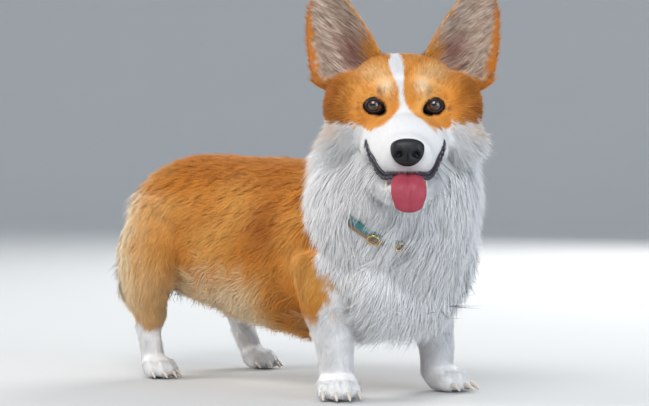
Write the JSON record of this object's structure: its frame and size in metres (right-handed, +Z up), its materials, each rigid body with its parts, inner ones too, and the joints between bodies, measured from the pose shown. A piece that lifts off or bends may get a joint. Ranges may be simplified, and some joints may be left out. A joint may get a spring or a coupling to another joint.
{
  "type": "pembroke welsh corgi model",
  "caption": "Life-size standing Pembroke Welsh Corgi with its head turned to its right, mouth open, tongue out and a collar in its ruff; still museum model.",
  "frame": {"origin": "middle of the floor under the model's bounding box", "axes": "+Z up, -Y the way the body faces, +X the dog's left"},
  "size_m": [0.2614, 0.6554, 0.4588],
  "materials": {
    "red_coat": "soft fur, golden red",
    "white_coat": "soft fur, white",
    "nose_leather": "moist, fine grain",
    "eye_glass": "polished, dark brown",
    "tongue": "moist, fine grain",
    "tooth": "glazed",
    "claw": "horn, satin",
    "strap": "woven webbing",
    "brass": "polished"
  },
  "bodies": {
    "root": {"canine_left": "tooth", "canine_right": "tooth", "chest": "white_coat", "collar": "strap", "collar_buckle": "brass", "collar_ring": "brass", "ear_left": "red_coat", "ear_right": "red_coat", "eye_left": "eye_glass", "eye_right": "eye_glass", "foreleg_left": "white_coat", "foreleg_right": "white_coat", "forepaw_left": "white_coat", "forepaw_left_claw_1": "claw", "forepaw_left_claw_2": "claw", "forepaw_left_claw_3": "claw", "forepaw_left_claw_4": "claw", "forepaw_right": "white_coat", "forepaw_right_claw_1": "claw", "forepaw_right_claw_2": "claw", "forepaw_right_claw_3": "claw", "forepaw_right_claw_4": "claw", "head": "red_coat", "hindleg_left": "red_coat", "hindleg_right": "red_coat", "hindpaw_left": "white_coat", "hindpaw_left_claw_1": "claw", "hindpaw_left_claw_2": "claw", "hindpaw_left_claw_3": "claw", "hindpaw_left_claw_4": "claw", "hindpaw_right": "white_coat", "hindpaw_right_claw_1": "claw", "hindpaw_right_claw_2": "claw", "hindpaw_right_claw_3": "claw", "hindpaw_right_claw_4": "claw", "jaw": "white_coat", "neck": "white_coat", "nose": "nose_leather", "tail": "red_coat", "tongue": "tongue", "torso": "red_coat"}
  },
  "joints": []
}
